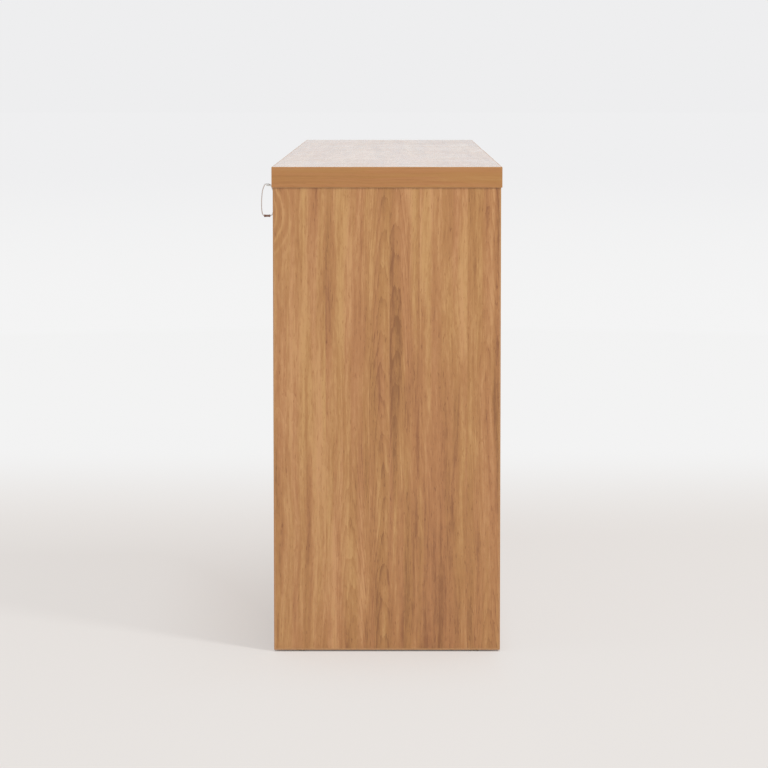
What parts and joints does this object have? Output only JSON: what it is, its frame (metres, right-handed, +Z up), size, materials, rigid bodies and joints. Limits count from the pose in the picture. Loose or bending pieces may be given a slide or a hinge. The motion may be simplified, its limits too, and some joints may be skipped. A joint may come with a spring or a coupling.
{
  "type": "sideboard",
  "caption": "Low office sideboard with hinged cupboard doors, a stack of drawers between them, and a key with a ring hanging from its lock.",
  "frame": {"origin": "on the floor, under the middle glide of the plinth: midway along the length and midway through the depth of the top", "axes": "+X along the length, towards the end panel with the key; the fronts face -Y; +Z up"},
  "size_m": [1.8, 0.4476, 0.85],
  "materials": {
    "laminate": "satin wood-grain laminate",
    "edge_band": "satin wood-grain edge band",
    "inner_laminate": "satin wood-grain laminate",
    "back_board": "matte wood-grain foil",
    "drawer_board": "matte pale foil",
    "plated_steel": "zinc plated",
    "lock_nickel": "nickel plated",
    "pull_metal": "satin anodised",
    "ring_wire": "bright drawn wire",
    "sleeve_copper": "dull darkened metal",
    "glide_plastic": "moulded",
    "bumper_soft": "pale felt"
  },
  "bodies": {
    "case": {"top_board": "laminate", "top_edge_bands": "edge_band", "right_end_panel": "laminate", "left_end_panel": "laminate", "end_panel_bands": "edge_band", "bottom_panel": "inner_laminate", "right_partition": "inner_laminate", "left_partition": "inner_laminate", "back_panel": "back_board", "front_plinth": "inner_laminate", "rear_plinth": "inner_laminate", "plinth_cross": "inner_laminate", "right_shelf": "inner_laminate", "left_shelf": "inner_laminate", "foot_glides": "glide_plastic", "shelf_pins": "plated_steel", "fixing_angles": "plated_steel", "front_bumpers": "bumper_soft", "lock_strikes": "plated_steel", "hinge_arms": "plated_steel", "hinge_plates": "plated_steel", "outer_runners": "plated_steel"},
    "right_door": {"right_door_panel": "laminate", "right_door_pull": "pull_metal", "right_hinge_cups": "plated_steel", "right_hinge_pins": "plated_steel", "right_lock_housing": "lock_nickel"},
    "right_hinge_links": {"right_hinge_links": "plated_steel"},
    "right_lock_plug": {"right_lock_plug": "lock_nickel", "right_lock_cam": "plated_steel"},
    "left_door": {"left_door_panel": "laminate", "left_door_pull": "pull_metal", "left_hinge_cups": "plated_steel", "left_hinge_pins": "plated_steel", "left_lock_housing": "lock_nickel"},
    "left_hinge_links": {"left_hinge_links": "plated_steel"},
    "left_lock_plug": {"left_lock_plug": "lock_nickel", "left_lock_cam": "plated_steel"},
    "key": {"key": "lock_nickel"},
    "key_ring": {"key_ring": "ring_wire", "ring_sleeve": "sleeve_copper"},
    "drawer_1": {"drawer_1_front": "laminate", "drawer_1_pull": "pull_metal", "drawer_1_box": "drawer_board", "drawer_1_bottom": "drawer_board", "drawer_1_inner_runners": "plated_steel"},
    "drawer_1_slides": {"drawer_1_middle_runners": "plated_steel"},
    "drawer_2": {"drawer_2_front": "laminate", "drawer_2_pull": "pull_metal", "drawer_2_box": "drawer_board", "drawer_2_bottom": "drawer_board", "drawer_2_inner_runners": "plated_steel"},
    "drawer_2_slides": {"drawer_2_middle_runners": "plated_steel"},
    "drawer_3": {"drawer_3_front": "laminate", "drawer_3_pull": "pull_metal", "drawer_3_box": "drawer_board", "drawer_3_bottom": "drawer_board", "drawer_3_inner_runners": "plated_steel"},
    "drawer_3_slides": {"drawer_3_middle_runners": "plated_steel"}
  },
  "joints": [
    {"name": "right_door", "type": "hinge", "parent": "case", "child": "right_door", "pos_m": [0.8695, -0.198, 0.437], "axis": [0, 0, 1], "range_deg": [0, 110]},
    {"name": "right_hinge_links", "type": "hinge", "parent": "right_door", "child": "right_hinge_links", "pos_m": [0.8495, -0.188, 0.437], "axis": [0, 0, 1], "range_deg": [-88, 0]},
    {"name": "right_lock_turn", "type": "hinge", "parent": "right_door", "child": "right_lock_plug", "pos_m": [0.33483, -0.2, 0.7936], "axis": [0, -1, 0], "range_deg": [0, 90]},
    {"name": "left_door", "type": "hinge", "parent": "case", "child": "left_door", "pos_m": [-0.8695, -0.198, 0.437], "axis": [0, 0, -1], "range_deg": [0, 110]},
    {"name": "left_hinge_links", "type": "hinge", "parent": "left_door", "child": "left_hinge_links", "pos_m": [-0.8495, -0.188, 0.437], "axis": [0, 0, -1], "range_deg": [-88, 0]},
    {"name": "left_lock_turn", "type": "hinge", "parent": "left_door", "child": "left_lock_plug", "pos_m": [-0.33483, -0.2, 0.7936], "axis": [0, 1, 0], "range_deg": [0, 90]},
    {"name": "key_pull", "type": "slide", "parent": "right_lock_plug", "child": "key", "axis": [0, -1, 0], "range_m": [0, 0.03]},
    {"name": "key_ring_swing", "type": "hinge", "parent": "key", "child": "key_ring", "pos_m": [0.33483, -0.2346, 0.7936], "axis": [1, 0, 0], "range_deg": [-8, 8]},
    {"name": "drawer_1_pull_out", "type": "slide", "parent": "case", "child": "drawer_1", "axis": [0, -1, 0], "range_m": [0, 0.3]},
    {"name": "drawer_1_slides", "type": "slide", "parent": "case", "child": "drawer_1_slides", "axis": [0, -1, 0], "range_m": [0, 0.15]},
    {"name": "drawer_2_pull_out", "type": "slide", "parent": "case", "child": "drawer_2", "axis": [0, -1, 0], "range_m": [0, 0.3]},
    {"name": "drawer_2_slides", "type": "slide", "parent": "case", "child": "drawer_2_slides", "axis": [0, -1, 0], "range_m": [0, 0.15]},
    {"name": "drawer_3_pull_out", "type": "slide", "parent": "case", "child": "drawer_3", "axis": [0, -1, 0], "range_m": [0, 0.3]},
    {"name": "drawer_3_slides", "type": "slide", "parent": "case", "child": "drawer_3_slides", "axis": [0, -1, 0], "range_m": [0, 0.15]}
  ],
  "couplings": [
    {"joint": "right_hinge_links", "follows": "right_door", "ratio": -0.79672},
    {"joint": "left_hinge_links", "follows": "left_door", "ratio": -0.79672},
    {"joint": "drawer_1_slides", "follows": "drawer_1_pull_out", "ratio": 0.5},
    {"joint": "drawer_2_slides", "follows": "drawer_2_pull_out", "ratio": 0.5},
    {"joint": "drawer_3_slides", "follows": "drawer_3_pull_out", "ratio": 0.5}
  ]
}
